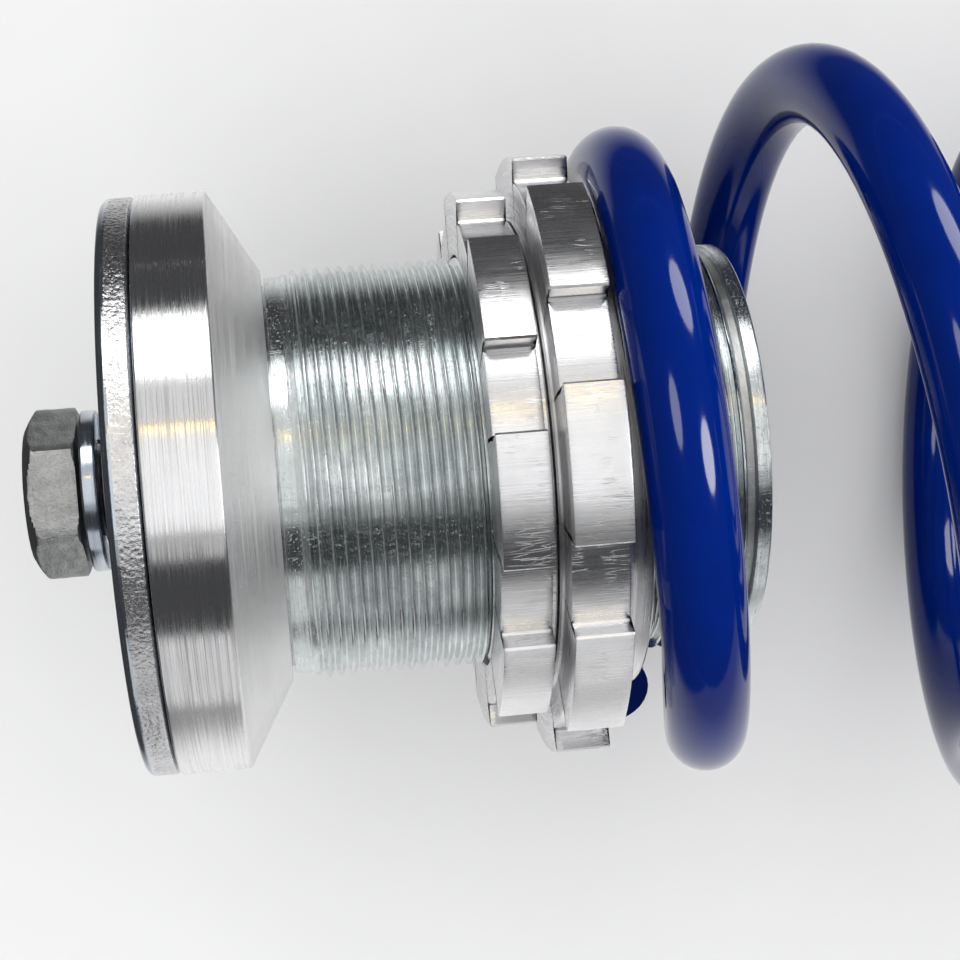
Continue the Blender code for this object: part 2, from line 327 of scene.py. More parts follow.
class EffectGroups:
    """Shader node groups that several finishes share. Each is built once."""

    @staticmethod
    def _start(name: str, inputs: dict[str, float],
               outputs: list[str]) -> tuple[NodeGraph, bpy.types.Node, bpy.types.Node]:
        """Make an empty group with named number inputs and outputs.

        Args:
            name: the group's name.
            inputs: each input with its own value.
            outputs: the outputs' names.

        Returns:
            The group's graph, its input node and its output node.
        """
        tree = bpy.data.node_groups.new(name, "ShaderNodeTree")
        for key, value in inputs.items():
            socket = tree.interface.new_socket(key, in_out="INPUT", socket_type="NodeSocketFloat")
            socket.default_value = value
        for key in outputs:
            tree.interface.new_socket(key, in_out="OUTPUT", socket_type="NodeSocketFloat")
        graph = NodeGraph(tree)
        return graph, graph.add("NodeGroupInput"), graph.add("NodeGroupOutput")

    @cache
    def lathe_lines(self) -> bpy.types.NodeTree:
        """Fine lines left by turning: they run around the piece's own axis.

        Returns:
            The group, with Height and Streak outputs.
        """
        graph, given, out = self._start("lathe_lines", {"Fineness": 9000.0, "Length": 60.0},
                                        ["Height", "Streak"])
        fineness, length = given.outputs["Fineness"], given.outputs["Length"]
        x, y, axial = graph.split(graph.place())
        radius = graph.math("SQRT", graph.plus(graph.times(x, x), graph.times(y, y)))
        along = graph.minus(axial, radius)
        fine = graph.combine(graph.times(along, fineness), graph.times(x, length), graph.times(y, length))
        lines = graph.noise(fine, 1.0, 3.0, 0.6)
        wide, long = graph.times(fineness, 0.22), graph.times(length, 1.7)
        coarse = graph.combine(graph.times(along, wide), graph.times(x, long), graph.times(y, long))
        streaks = graph.noise(coarse, 1.0, 4.0, 0.65)
        graph.feed(out, {"Height": graph.plus(lines, graph.times(streaks, 0.5)),
                         "Streak": graph.fit(streaks, 0.32, 0.7)})
        return graph.tree

    @cache
    def scratches(self) -> bpy.types.NodeTree:
        """Thin straight handling scratches in three directions.

        Returns:
            The group, with a Mask output that is 1 on a scratch.
        """
        graph, given, out = self._start("scratches", {"Density": 1.0}, ["Mask"])
        place = graph.place()
        total: Feed = 0.0
        for tilt, scale, seed in ((0.42, 900.0, 0.0), (-0.6, 1300.0, 3.0), (1.1, 700.0, 7.0)):
            mapping = graph.add("ShaderNodeMapping", {"Vector": place,
                                                      "Rotation": (tilt, tilt * 0.7, tilt),
                                                      "Scale": (scale * 0.03, scale, scale * 0.12),
                                                      "Location": (seed, seed, seed)})
            value = graph.noise(mapping.outputs[0], 1.0, 1.0, 0.4)
            band = graph.math("ABSOLUTE", graph.minus(value, 0.5))
            total = graph.larger(total, graph.fit(band, 0.0, 0.012, 1.0, 0.0))
        allowed = graph.fit(graph.noise(place, 260.0, 2.0, 0.5), 0.52, 0.62)
        graph.feed(out, {"Mask": graph.times(graph.times(total, allowed), given.outputs["Density"])})
        return graph.tree

    @cache
    def grime(self) -> bpy.types.NodeTree:
        """Cloudy unevenness, fine to coarse, for haze and handling marks.

        Returns:
            The group, with Cloud and Speck outputs.
        """
        graph, given, out = self._start("grime", {"Size": 120.0}, ["Cloud", "Speck"])
        scaled = graph.add("ShaderNodeVectorMath", {0: graph.place(), "Scale": given.outputs["Size"]},
                           operation="SCALE").outputs[0]
        graph.feed(out, {"Cloud": graph.fit(graph.noise(scaled, 1.0, 5.0, 0.6), 0.3, 0.7),
                         "Speck": graph.fit(graph.noise(scaled, 22.0, 2.0, 0.6), 0.62, 0.72)})
        return graph.tree

    @cache
    def edge_highlight(self) -> bpy.types.NodeTree:
        """Mark convex edges, found from the mesh's own pointiness, for a painted highlight.

        Returns:
            The group, with an Edge output that is 1 on a convex edge.
        """
        graph, given, out = self._start("edge_highlight", {"Start": 0.53, "End": 0.6}, ["Edge"])
        point = graph.add("ShaderNodeNewGeometry").outputs["Pointiness"]
        graph.feed(out, {"Edge": graph.fit(point, given.outputs["Start"], given.outputs["End"])})
        return graph.tree


GROUPS = EffectGroups()


@dataclass(frozen=True)
class Finish:
    """What every finish has: a name and a base look."""

    name: str
    colour: Colour
    roughness: float
    brushed: float = 0.0

    def _start(self, metallic: float) -> tuple[bpy.types.Material, NodeGraph, bpy.types.Node]:
        """Make a material with a Principled shader.

        Args:
            metallic: the shader's constant metallic value.

        Returns:
            The material, its graph and its shader node.
        """
        material = bpy.data.materials.new(self.name)
        material.use_nodes = True
        graph = NodeGraph(material.node_tree)
        shader = material.node_tree.nodes["Principled BSDF"]
        graph.feed(shader, {"Metallic": metallic, "Anisotropic": self.brushed,
                            "Anisotropic Rotation": ACROSS_THE_LINES})
        return material, graph, shader

    @staticmethod
    def _group(graph: NodeGraph, tree: bpy.types.NodeTree,
               **values: float) -> dict[str, bpy.types.NodeSocket]:
        """Place a shared group with its own values, and return its outputs by name."""
        node = graph.add("ShaderNodeGroup", values, node_tree=tree)
        return {socket.name: socket for socket in node.outputs}

    @staticmethod
    def _surface(graph: NodeGraph, shader: bpy.types.Node, tone: Feed, rough: Feed, height: Feed,
                 depth: float) -> None:
        """Feed the shader what changes over the surface.

        Args:
            graph: the material's graph.
            shader: its shader node.
            tone: the base colour.
            rough: the roughness.
            height: the height of the finest relief, 0 to about 1.
            depth: metres that a height of 1 stands for.
        """
        bump = graph.add("ShaderNodeBump", {"Strength": 1.0, "Distance": depth, "Height": height})
        graph.feed(shader, {"Base Color": tone, "Roughness": rough, "Normal": bump.outputs["Normal"]})


@dataclass(frozen=True)
class TurnedMetal(Finish):
    """Bare or plated metal that shows its turning lines."""

    fineness: float = 9000.0
    length: float = 60.0
    line_depth: float = 0.012 * MM
    spread: float = 0.16
    stain: Colour = (0.6, 0.6, 0.6)
    stain_amount: float = 0.15
    scratch: float = 0.5
    line_shade: float = 0.12
    pits: float = 0.0

    def build(self) -> bpy.types.Material:
        """Build the material.

        Returns:
            The new material.
        """
        material, graph, shader = self._start(1.0)
        lines = self._group(graph, GROUPS.lathe_lines(), Fineness=self.fineness, Length=self.length)
        marks = self._group(graph, GROUPS.scratches(), Density=self.scratch)
        haze = self._group(graph, GROUPS.grime(), Size=140.0)
        rough = graph.fit(lines["Streak"], 0.0, 1.0, self.roughness - 0.5 * self.spread,
                          self.roughness + self.spread)
        rough = graph.plus(rough, graph.times(haze["Cloud"], 0.05))
        tone = graph.colour_mix(graph.times(haze["Cloud"], self.stain_amount), rgba(self.colour),
                                rgba(self.stain))
        tone = graph.colour_mix(graph.times(lines["Streak"], self.line_shade * 2.0), tone,
                                rgba(self.colour, 1.0 - self.line_shade))
        height = graph.minus(lines["Height"], graph.times(marks["Mask"], 0.6))
        height = graph.minus(height, graph.times(haze["Speck"], self.pits))
        self._surface(graph, shader, tone, rough, height, self.line_depth)
        return material


@dataclass(frozen=True)
class MilledMetal(Finish):
    """Aluminium cut along the axis, with mill lines, scratches and a painted highlight on its broken edges.
    """

    line_scale: tuple[float, float, float] = (5200.0, 5200.0, 90.0)
    line_depth: float = 0.008 * MM
    scratch: float = 1.0
    # colour of the painted highlight on the convex edges
    bright: Colour = (0.95, 0.95, 0.96)

    def build(self) -> bpy.types.Material:
        """Build the material.

        Returns:
            The new material.
        """
        material, graph, shader = self._start(1.0)
        stretched = graph.add("ShaderNodeMapping", {"Vector": graph.place(), "Scale": self.line_scale})
        lines = graph.noise(stretched.outputs[0], 1.0, 3.0, 0.6)
        marks = self._group(graph, GROUPS.scratches(), Density=self.scratch)
        haze = self._group(graph, GROUPS.grime(), Size=170.0)
        edges = self._group(graph, GROUPS.edge_highlight())
        rough = graph.fit(lines, 0.3, 0.7, self.roughness - 0.08, self.roughness + 0.1)
        rough = graph.plus(rough, graph.times(haze["Cloud"], 0.1))
        rough = graph.plus(rough, graph.times(marks["Mask"], 0.2))
        tone = graph.colour_mix(graph.times(haze["Cloud"], 0.5), rgba(self.colour), rgba(self.colour, 0.86))
        # painted highlight: convex edges are coloured brighter
        tone = graph.colour_mix(edges["Edge"], tone, rgba(self.bright))
        height = graph.plus(lines, graph.times(haze["Cloud"], 1.5))
        height = graph.minus(height, graph.times(marks["Mask"], 1.2))
        self._surface(graph, shader, tone, rough, height, self.line_depth)
        return material


@dataclass(frozen=True)
class RoughPlate(Finish):
    """Zinc plate over a rough sawn or forged surface."""

    grain_scale: float = 1600.0
    grain_depth: float = 0.05 * MM
    stain: Colour = (0.42, 0.42, 0.44)

    def build(self) -> bpy.types.Material:
        """Build the material.

        Returns:
            The new material.
        """
        material, graph, shader = self._start(1.0)
        grain = graph.noise(graph.place(), self.grain_scale, 3.0, 0.62)
        haze = self._group(graph, GROUPS.grime(), Size=330.0)
        rough = graph.fit(grain, 0.35, 0.7, self.roughness, self.roughness + 0.2)
        tone = graph.colour_mix(graph.times(haze["Cloud"], 0.6), rgba(self.colour), rgba(self.stain))
        self._surface(graph, shader, tone, rough, grain, self.grain_depth)
        return material


@dataclass(frozen=True)
class PowderCoat(Finish):
    """Glossy coat with a faint orange peel and dust nibs."""

    peel_depth: float = 0.01 * MM
    gloss_roughness: float = 0.09
    gloss_ior: float = 1.35

    def build(self) -> bpy.types.Material:
        """Build the material.

        Returns:
            The new material.
        """
        material, graph, shader = self._start(0.0)
        graph.feed(shader, {"Coat Weight": 1.0, "Coat Roughness": self.gloss_roughness,
                            "Coat IOR": self.gloss_ior, "Specular IOR Level": 0.0})
        place = graph.place()
        haze = self._group(graph, GROUPS.grime(), Size=60.0)
        peel = graph.noise(place, 420.0, 2.0, 0.45)
        nibs = graph.fit(graph.noise(place, 1500.0, 0.0, 0.5), 0.78, 0.84)
        tone = graph.colour_mix(haze["Cloud"], rgba(self.colour), rgba(self.colour, 0.72))
        rough = graph.fit(haze["Cloud"], 0.0, 1.0, self.roughness, self.roughness + 0.08)
        self._surface(graph, shader, tone, rough, graph.plus(peel, graph.times(nibs, 1.5)),
                      self.peel_depth)
        return material


TURNED_ALUMINIUM = TurnedMetal("turned_aluminium", (0.88, 0.88, 0.89), 0.17, brushed=1.0,
                               fineness=24000.0, length=30.0, line_depth=0.010 * MM, spread=0.26,
                               scratch=0.2)
CONE_ALUMINIUM = TurnedMetal("cone_aluminium", (0.95, 0.95, 0.95), 0.42, brushed=0.6,
                             fineness=20000.0, length=30.0, line_depth=0.03 * MM,
                             stain=(0.82, 0.82, 0.82), stain_amount=0.4, line_shade=0.16)
SLEEVE_ZINC = TurnedMetal("sleeve_zinc", (0.91, 0.95, 0.95), 0.10, brushed=0.5, fineness=26000.0,
                          length=150.0, line_depth=0.016 * MM, spread=0.16,
                          stain=(0.40, 0.46, 0.47), stain_amount=0.8, line_shade=0.4, pits=1.6)
BRIGHT_ZINC = TurnedMetal("bright_zinc", (0.62, 0.66, 0.70), 0.10, brushed=0.3,
                          stain=(0.42, 0.50, 0.62), stain_amount=0.6)
SAWN_ZINC = RoughPlate("sawn_zinc", (0.80, 0.80, 0.81), 0.12, grain_scale=2700.0,
                       grain_depth=0.08 * MM)
FORGED_ZINC = RoughPlate("forged_zinc", (0.53, 0.55, 0.55), 0.28, grain_scale=3200.0,
                         grain_depth=0.07 * MM, stain=(0.27, 0.25, 0.24))
RING_ALUMINIUM = MilledMetal("ring_aluminium", (0.88, 0.88, 0.89), 0.24, brushed=0.7)
TURNED_FACE = TurnedMetal("turned_face", (0.80, 0.80, 0.81), 0.26, brushed=0.7, fineness=9000.0,
                          length=40.0, line_depth=0.015 * MM)
BLUE_COAT = PowderCoat("blue_coat", (0.0001, 0.0080, 0.098), 0.35)


# --------------------------------------------------------------------------- sub-assemblies

def low(node: str) -> Vector:
    """Lowest corner of a CAD node at rest."""
    return Vector(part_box(node)[0])


def high(node: str) -> Vector:
    """Highest corner of a CAD node at rest."""
    return Vector(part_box(node)[1])


def off_axis(face: bpy.types.MeshPolygon) -> float:
    """Distance of a face's middle from the axis."""
    return hypot(face.center.y, face.center.z)


class Body(Enum):
    """Bodies that move apart from each other."""

    PERCH = "perch"
    SPRING = "spring"
    ADJUSTER = "adjuster"
    LOCK = "lock"


class Slot(Enum):
    """Material slots of the part."""

    ZINC_STEEL = "zinc_steel"
    BLUE_ZINC_STEEL = "blue_zinc_steel"
    TURNED_ALUMINIUM = "turned_aluminium"
    BLUE_COAT = "blue_coat"


@dataclass
class Piece:
    """One finished piece: the node that it replaces, its body and its slot."""

    node: str
    body: Body
    slot: Slot

    def dress(self, item: bpy.types.Object, *materials: bpy.types.Material) -> None:
        """Give a piece its materials, its body and the node it replaces.

        Args:
            item: the finished object.
            materials: its material slots in order.
        """
        for material in materials:
            item.data.materials.append(material)
        item.data.transform(TO_AXIS)
        item.rotation_euler = (0.0, pi / 2.0, 0.0)
        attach(item, self.body.value)
        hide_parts(self.node)
        LOG.info("%s: %d faces", item.name, len(item.data.polygons))


@dataclass
class BoltSet:
    """The M12 bolt with its split washer and flat washer."""

    flats: float = 19.0 * MM
    crown: float = 0.9  # flat part of the head's face, as a share of the distance to the flats
    corner_round: float = 0.15 * MM
    foot_round: float = 0.5 * MM
    foot_reach: float = 0.9 * MM
    dent_depth: float = 0.09 * MM
    shank_r: float = 6.0 * MM
    thread_pitch: float = 1.75 * MM
    thread_depth: float = 1.0 * MM
    thread_end: float = 1.2 * MM
    segments: int = 96
    hole_r: float = 6.5 * MM
    split_thickness: float = 2.0 * MM
    split_edge: float = 0.35 * MM
    split: float = radians(10.0)

    def bolt(self) -> bpy.types.Object:
        """Build the head and its threaded shank as one skin.

        Returns:
            The bolt.
        """
        left, right = low("hex_bolt").x, high("hex_bolt").x
        seat = low("split_lock_washer").x - CAD_GAP
        half = 0.5 * self.flats
        corner, crown = half / cos(pi / 6.0), self.crown * half
        angles = [TURN * k / self.segments for k in range(self.segments)]
        rows: list[list[Vector]] = []

        def add(x: float, radii: list[float]) -> None:
            """Add a ring of points, with a radius for each angle."""
            rows.append([Vector((x, r * cos(a), r * sin(a))) for r, a in zip(radii, angles)])

        def circle(x: float, radius: float) -> None:
            """Add a round ring."""
            add(x, [radius] * len(angles))

        def hexagon(x: float, reach: float = corner) -> None:
            """Add a hexagon with a corner at +Y, cut off round at a radius."""
            reach = min(reach, corner - self.corner_round)
            add(x, [min(half / cos(a % (pi / 3.0) - pi / 6.0), reach) for a in angles])

        def threaded(x: float, share: float) -> None:
            """Add a ring of the thread, cut to a share of its depth."""
            phases = [(x / self.thread_pitch - a / TURN) % 1.0 for a in angles]
            depth = share * self.thread_depth
            add(x, [self.shank_r - depth * (0.5 - 0.5 * cos(TURN * phase)) for phase in phases])

        slope = tan(radians(30.0))
        circle(left + 0.02 * MM, 0.02 * half)
        circle(left, 0.5 * half)
        circle(left, crown)
        for reach in (crown + (corner - crown) * step / 8.0 for step in range(1, 9)):
            hexagon(left + (reach - crown) * slope, reach)
        top, bottom = left + (corner - crown) * slope, seat - self.foot_round
        for step in range(1, 13):
            hexagon(top + (bottom - top) * step / 12.0)
        for step in range(1, 5):
            hexagon(bottom + 0.2 * self.foot_round * step, corner - 0.25 * self.foot_reach * step)
        circle(seat - 0.1 * MM, half - 0.4 * MM)
        circle(seat, half - 0.6 * MM)
        circle(seat, self.shank_r + 0.4 * MM)
        circle(seat + 0.4 * MM, self.shank_r)
        start = seat + 2.0 * MM
        length = right - self.thread_end - start
        steps = int(length / self.thread_pitch * 8)
        for x in (start + length * step / steps for step in range(steps + 1)):
            threaded(x, smooth((x - start) / self.thread_pitch))
        circle(right - 0.9 * MM, self.shank_r - self.thread_depth)
        circle(right, self.shank_r - 1.4 * MM)
        circle(right, 0.3 * MM)
        item = Mesher.grid("hex_bolt_detail", rows, False, 32.0)
        self._forge(item, seat)
        return item

    def _forge(self, item: bpy.types.Object, seat: float) -> None:
        """Dent the head's flats as forging does.

        Args:
            item: the bolt.
            seat: where the head ends, along X.
        """
        for vert in item.data.vertices:
            place = vert.co
            radius = hypot(place.y, place.z)
            if radius < 0.3 * self.flats or place.x > seat - 0.3 * MM:
                continue
            dent = noise.fractal(place * 900.0, 1.0, 2.0, 4) * self.dent_depth
            scale = 1.0 + dent / radius
            vert.co = Vector((place.x, place.y * scale, place.z * scale))
        item.data.update()

    def split_washer(self) -> bpy.types.Object:
        """Build the split washer, its ends sprung apart.

        Returns:
            The washer.
        """
        left, right = low("split_lock_washer").x, high("split_lock_washer").x
        outer = high("split_lock_washer").y
        rise = right - left - self.split_thickness
        rows = []
        steps = 120
        for step in range(steps + 1):
            angle = self.split / 2.0 + (TURN - self.split) * step / steps
            near = left + rise * step / steps
            far = near + self.split_thickness
            section = Mesher.rounded([(near, self.hole_r, self.split_edge), (near, outer, self.split_edge),
                                      (far, outer, self.split_edge), (far, self.hole_r, self.split_edge)])
            rows.append([Vector((px, pr * cos(angle), pr * sin(angle))) for px, pr in section])
        return Mesher.grid("split_lock_washer_detail", rows, False, 50.0)

    def flat_washer(self) -> bpy.types.Object:
        """Build the flat washer with its pressed, rounded edge.

        Returns:
            The washer.
        """
        left, right = low("flat_washer").x, high("flat_washer").x
        outer = high("flat_washer").y
        corners = [(left, self.hole_r, 0.2 * MM), (left, outer, 0.7 * MM),
                   (right, outer, 0.25 * MM), (right, self.hole_r, 0.2 * MM)]
        outline = Mesher.divided(Mesher.rounded(corners, 5), 1.0 * MM)
        return Mesher.lathe("flat_washer_detail", outline, 160, 50.0)

    def build(self) -> None:
        """Build and dress the bolt and its washers."""
        forged, bright = FORGED_ZINC.build(), BRIGHT_ZINC.build()
        Piece("hex_bolt", Body.PERCH, Slot.ZINC_STEEL).dress(self.bolt(), forged)
        Piece("split_lock_washer", Body.PERCH, Slot.ZINC_STEEL).dress(self.split_washer(), bright)
        Piece("flat_washer", Body.PERCH, Slot.ZINC_STEEL).dress(self.flat_washer(), bright)


@dataclass
class Base:
    """The clamp disc and the aluminium base ring above it."""

    hole_r: float = 6.5 * MM
    spot_r: float = 11.4 * MM
    spot_depth: float = 0.5 * MM
    cone_end_r: float = 26.4 * MM
    socket_r: float = 24.9 * MM
    socket_depth: float = 8.0 * MM
    rim_width: float = 8.7 * MM
    roll: float = 1.1 * MM
    grain: float = 0.07 * MM

    def disc(self) -> bpy.types.Object:
        """Build the disc: a smooth rolled corner on the bolt's side and a rough sawn edge.

        Returns:
            The disc.
        """
        left, right = low("clamp_disc").x, high("clamp_disc").x
        outer = high("clamp_disc").y
        flat_r = outer - self.roll
        edge_start, edge_end = left + self.roll, right - 0.25 * MM
        around, across = 8, 18
        outline = [(left + self.spot_depth, self.hole_r), (left + self.spot_depth, self.spot_r)]
        outline += [(left, self.spot_r + (flat_r - self.spot_r) * k / around) for k in range(around)]
        for angle in (pi / 2.0 * k / around for k in range(around + 1)):
            outline.append((left + self.roll * (1.0 - cos(angle)), outer - self.roll * (1.0 - sin(angle))))
        outline += [(edge_start + (edge_end - edge_start) * k / across, outer) for k in range(1, across + 1)]
        outline += [(right, outer - 0.25 * MM), (right, self.hole_r)]

        def sawn(x: float, r: float, angle: float) -> Point:
            """Roughen the edge, and leave the rolled corner nearly smooth.

            Args:
                x: place along the axis.
                r: distance from the axis.
                angle: angle about the axis.

            Returns:
                The moved (x, r).
            """
            if r < outer - 0.6 * MM:
                return x, r
            weight = smooth((x - left - 0.75 * self.roll) / (0.5 * MM))
            place = Vector((x, cos(angle) * outer, sin(angle) * outer)) * 2600.0
            rough = noise.fractal(place, 0.9, 2.1, 2)
            wave = noise.noise(Vector((cos(angle) * 9.0, sin(angle) * 9.0, x * 200.0)))
            return x, r - self.grain * weight * (0.9 + 0.8 * rough) + 0.03 * MM * wave - 0.03 * MM

        return Mesher.lathe("clamp_disc_detail", outline, 1300, 60.0, sawn)

    def ring(self) -> bpy.types.Object:
        """Build the base ring: rim, cone, socket and web.

        Returns:
            The ring.
        """
        left, right = low("base_ring").x, high("base_ring").x
        outer = high("base_ring").y
        rim_end = left + self.rim_width
        floor_x = right - self.socket_depth
        corners = [(left, self.hole_r, 0.2 * MM), (left, outer, 0.3 * MM), (rim_end, outer, 0.25 * MM),
                   (right, self.cone_end_r, 0.15 * MM), (right, self.socket_r, 0.1 * MM),
                   (floor_x, self.socket_r, 0.2 * MM), (floor_x, self.hole_r, 0.2 * MM)]
        outline = Mesher.divided(Mesher.rounded(corners, 4), 1.5 * MM)
        return Mesher.lathe("base_ring_detail", outline, 256, 50.0)

    def build(self) -> None:
        """Build and dress both pieces; the cone is duller than the rim."""
        disc = self.disc()
        sawn_r = high("clamp_disc").y - 0.5 * MM
        roll_end = low("clamp_disc").x + self.roll
        for face in disc.data.polygons:
            face.material_index = int(off_axis(face) > sawn_r and face.center.x > roll_end)
        Piece("clamp_disc", Body.PERCH, Slot.ZINC_STEEL).dress(disc, BRIGHT_ZINC.build(), SAWN_ZINC.build())
        ring = self.ring()
        cone_start = low("base_ring").x + self.rim_width + 0.15 * MM
        for face in ring.data.polygons:
            on_cone = face.center.x > cone_start and off_axis(face) > self.socket_r + 0.5 * MM
            face.material_index = int(on_cone)
        Piece("base_ring", Body.PERCH, Slot.TURNED_ALUMINIUM).dress(ring, TURNED_ALUMINIUM.build(),
                                                                   CONE_ALUMINIUM.build())


@dataclass
class Sleeve:
    """The zinc plated sleeve with its M53 x 1.5 thread."""

    pitch: float = 1.5 * MM
    depth: float = 0.92 * MM
    bore_r: float = 22.5 * MM
    foot_r: float = 24.6 * MM
    foot_length: float = 7.7 * MM
    collar_r: float = 25.9 * MM
    collar_width: float = 1.8 * MM
    undercut_r: float = 25.0 * MM
    undercut_width: float = 1.3 * MM
    undercut_rough: float = 0.06 * MM
    relief_width: float = 1.3 * MM
    segments: int = 128
    per_pitch: int = 10

    def build(self) -> None:
        """Build the sleeve with its helical thread and dress it."""
        foot, end = low("threaded_sleeve").x, high("threaded_sleeve").x
        crest = high("threaded_sleeve").y
        shoulder = foot + self.foot_length + CAD_GAP
        root = crest - self.depth
        collar = end - self.collar_width
        undercut = collar - self.undercut_width
        start = shoulder + self.relief_width
        outline: list[Point] = [(foot, self.bore_r), (foot, self.foot_r), (shoulder, self.foot_r),
                                (shoulder, root - 0.05 * MM), (shoulder + 0.15 * MM, root),
                                (start - 0.3 * MM, root)]
        steps = int((undercut - start) / self.pitch * self.per_pitch)
        outline += [(start + (undercut - start) * k / steps, crest) for k in range(steps + 1)]
        outline += Mesher.rounded([(undercut + 0.25 * MM, self.undercut_r, 0.1 * MM),
                                   (collar - 0.1 * MM, self.undercut_r, 0.1 * MM),
                                   (collar, self.collar_r, 0.12 * MM),
                                   (end, self.collar_r, 0.3 * MM),
                                   (end, self.bore_r, 0.3 * MM)], 4)[:-1]
        inner = 24
        outline += [(end - (end - foot) * k / inner, self.bore_r) for k in range(1, inner)]
        first, last = start - 0.5 * self.pitch, undercut

        def in_undercut(r: float) -> bool:
            """Tell whether a radius belongs to the undercut's floor."""
            return self.undercut_r - 0.2 * MM < r < min(self.undercut_r + 0.3 * MM, root - 0.5 * MM)

        def thread(x: float, r: float, angle: float) -> Point:
            """Cut the helix into the crest cylinder, fading in at the foot and out at the undercut.

            Args:
                x: place along the axis.
                r: distance from the axis.
                angle: angle about the axis.

            Returns:
                The moved (x, r).
            """
            if r < crest - TINY or x < first or x > last + TINY:
                if not in_undercut(r):
                    return x, r
                place = Vector((x * 2500.0, cos(angle) * 60.0, sin(angle) * 60.0))
                return x, r + self.undercut_rough * noise.fractal(place, 1.0, 2.0, 3)
            phase = (x / self.pitch - angle / TURN) % 1.0
            full = self.depth * (0.5 - 0.5 * cos(TURN * phase)) ** 0.85
            grown = smooth((x - start) / (2.2 * self.pitch))
            missing = (1.0 - grown) * self.depth
            fade = smooth((last - x) / (0.7 * self.pitch))
            return x, crest - max(full, missing) - (1.0 - fade) * 0.3 * (self.depth - full)

        item = Mesher.lathe("threaded_sleeve_detail", outline, self.segments, 62.0, thread)
        for face in item.data.polygons:
            on_floor = self.bore_r + 0.5 * MM < off_axis(face) < self.undercut_r + 0.2 * MM
            face.material_index = int(on_floor and undercut < face.center.x < collar)
        Piece("threaded_sleeve", Body.PERCH, Slot.BLUE_ZINC_STEEL).dress(item, SLEEVE_ZINC.build(),
                                                                        FORGED_ZINC.build())


@dataclass
class SlottedRing:
    """A ring with spanner slots milled in its edge; the same class makes both rings."""

    name: str
    body: Body
    slot_width: float
    slot_turn: float
    width: float
    high_boss: float
    low_boss: float = 0.0
    low_boss_r: float = 31.0 * MM
    high_boss_r: float = 31.0 * MM
    slot_depth: float = 3.0 * MM
    slots: int = 8
    bore_r: float = 26.8 * MM
    corner: float = 0.25 * MM
    chamfer: float = 0.22 * MM

    def outline(self, outer: float) -> list[Point]:
        """Work out the slotted edge as seen along the axis.

        Args:
            outer: radius over the teeth.

        Returns:
            (y, z) points, in order around the ring.
        """
        floor_r = outer - self.slot_depth
        half = 0.5 * self.slot_width
        top, floor = asin(half / outer), asin(half / floor_r)
        lip, foot = self.corner / outer, self.corner / floor_r
        step = TURN / self.slots
        along_floor, along_top = 8, 12
        polar: list[Point] = []
        for index in range(self.slots):
            # A slot's middle lies on +Z turned about X, which is a quarter turn past +Y.
            middle = pi / 2.0 + self.slot_turn + index * step
            polar += [(outer, middle - top - lip), (outer - self.corner, middle - top),
                      (floor_r + self.corner, middle - floor)]
            start, sweep = middle - floor + foot, 2.0 * (floor - foot)
            polar += [(floor_r, start + sweep * k / along_floor) for k in range(along_floor + 1)]
            polar += [(floor_r + self.corner, middle + floor), (outer - self.corner, middle + top)]
            start, sweep = middle + top + lip, step - 2.0 * (top + lip)
            polar += [(outer, start + sweep * k / along_top) for k in range(along_top)]
        return [(radius * cos(angle), radius * sin(angle)) for radius, angle in polar]

    @staticmethod
    def inset(points: list[Point], depth: float) -> list[Point]:
        """Move an outline inwards.

        Args:
            points: closed outline, counter-clockwise.
            depth: how far.

        Returns:
            The moved outline.
        """
        moved: list[Point] = []
        for index, (y, z) in enumerate(points):
            before, after = points[index - 1], points[(index + 1) % len(points)]
            first = Vector((y - before[0], z - before[1])).normalized()
            second = Vector((after[0] - y, after[1] - z)).normalized()
            normal = Vector((-(first.y + second.y), first.x + second.x)).normalized()
            lean = max(0.5, normal.dot(Vector((-second.y, second.x))))
            moved.append((y + normal.x * depth / lean, z + normal.y * depth / lean))
        return moved

    def build(self) -> None:
        """Build the ring and dress it."""
        left = low(self.name).x + self.low_boss
        right = left + self.width
        bore_left, bore_right = left - self.low_boss, right + self.high_boss
        outer = max(high(self.name).y, high(self.name).z)
        recess_r = outer - self.slot_depth - 1.2 * MM
        cut = self.chamfer
        edge = self.outline(outer)
        soft, small = self.inset(edge, 0.3 * cut), self.inset(edge, cut)
        angles = [atan2(z, y) for y, z in edge]

        def circle(x: float, radius: float) -> list[Vector]:
            """Ring of points at the outline's own angles."""
            return [Vector((x, radius * cos(a), radius * sin(a))) for a in angles]

        def slotted(x: float, points: list[Point]) -> list[Vector]:
            """Ring of points on the slotted outline."""
            return [Vector((x, y, z)) for y, z in points]

        rows = [circle(bore_left + cut, self.bore_r), circle(bore_left, self.bore_r + cut)]
        if self.low_boss > 0.0:
            rows += [circle(bore_left, self.low_boss_r - cut), circle(bore_left + cut, self.low_boss_r),
                     circle(left - 0.02 * MM, self.low_boss_r), circle(left, self.low_boss_r + 0.1 * MM)]
        rows += [circle(left, recess_r), slotted(left, small), slotted(left + 0.3 * cut, soft)]
        across, flat = 8, self.width - 2.0 * cut
        rows += [slotted(left + cut + flat * k / across, edge) for k in range(across + 1)]
        rows += [slotted(right - 0.3 * cut, soft), slotted(right, small), circle(right, recess_r),
                 circle(right, self.high_boss_r + 0.1 * MM), circle(right + 0.1 * MM, self.high_boss_r),
                 circle(bore_right - cut, self.high_boss_r), circle(bore_right, self.high_boss_r - cut),
                 circle(bore_right, self.bore_r + cut), circle(bore_right - cut, self.bore_r)]
        item = Mesher.grid(self.name + "_detail", rows, True, 28.0)
        for face in item.data.polygons:
            face.material_index = int(abs(face.normal.x) > 0.7 or off_axis(face) < recess_r + 0.2 * MM)
        Piece(self.name, self.body, Slot.TURNED_ALUMINIUM).dress(item, RING_ALUMINIUM.build(),
                                                               TURNED_FACE.build())


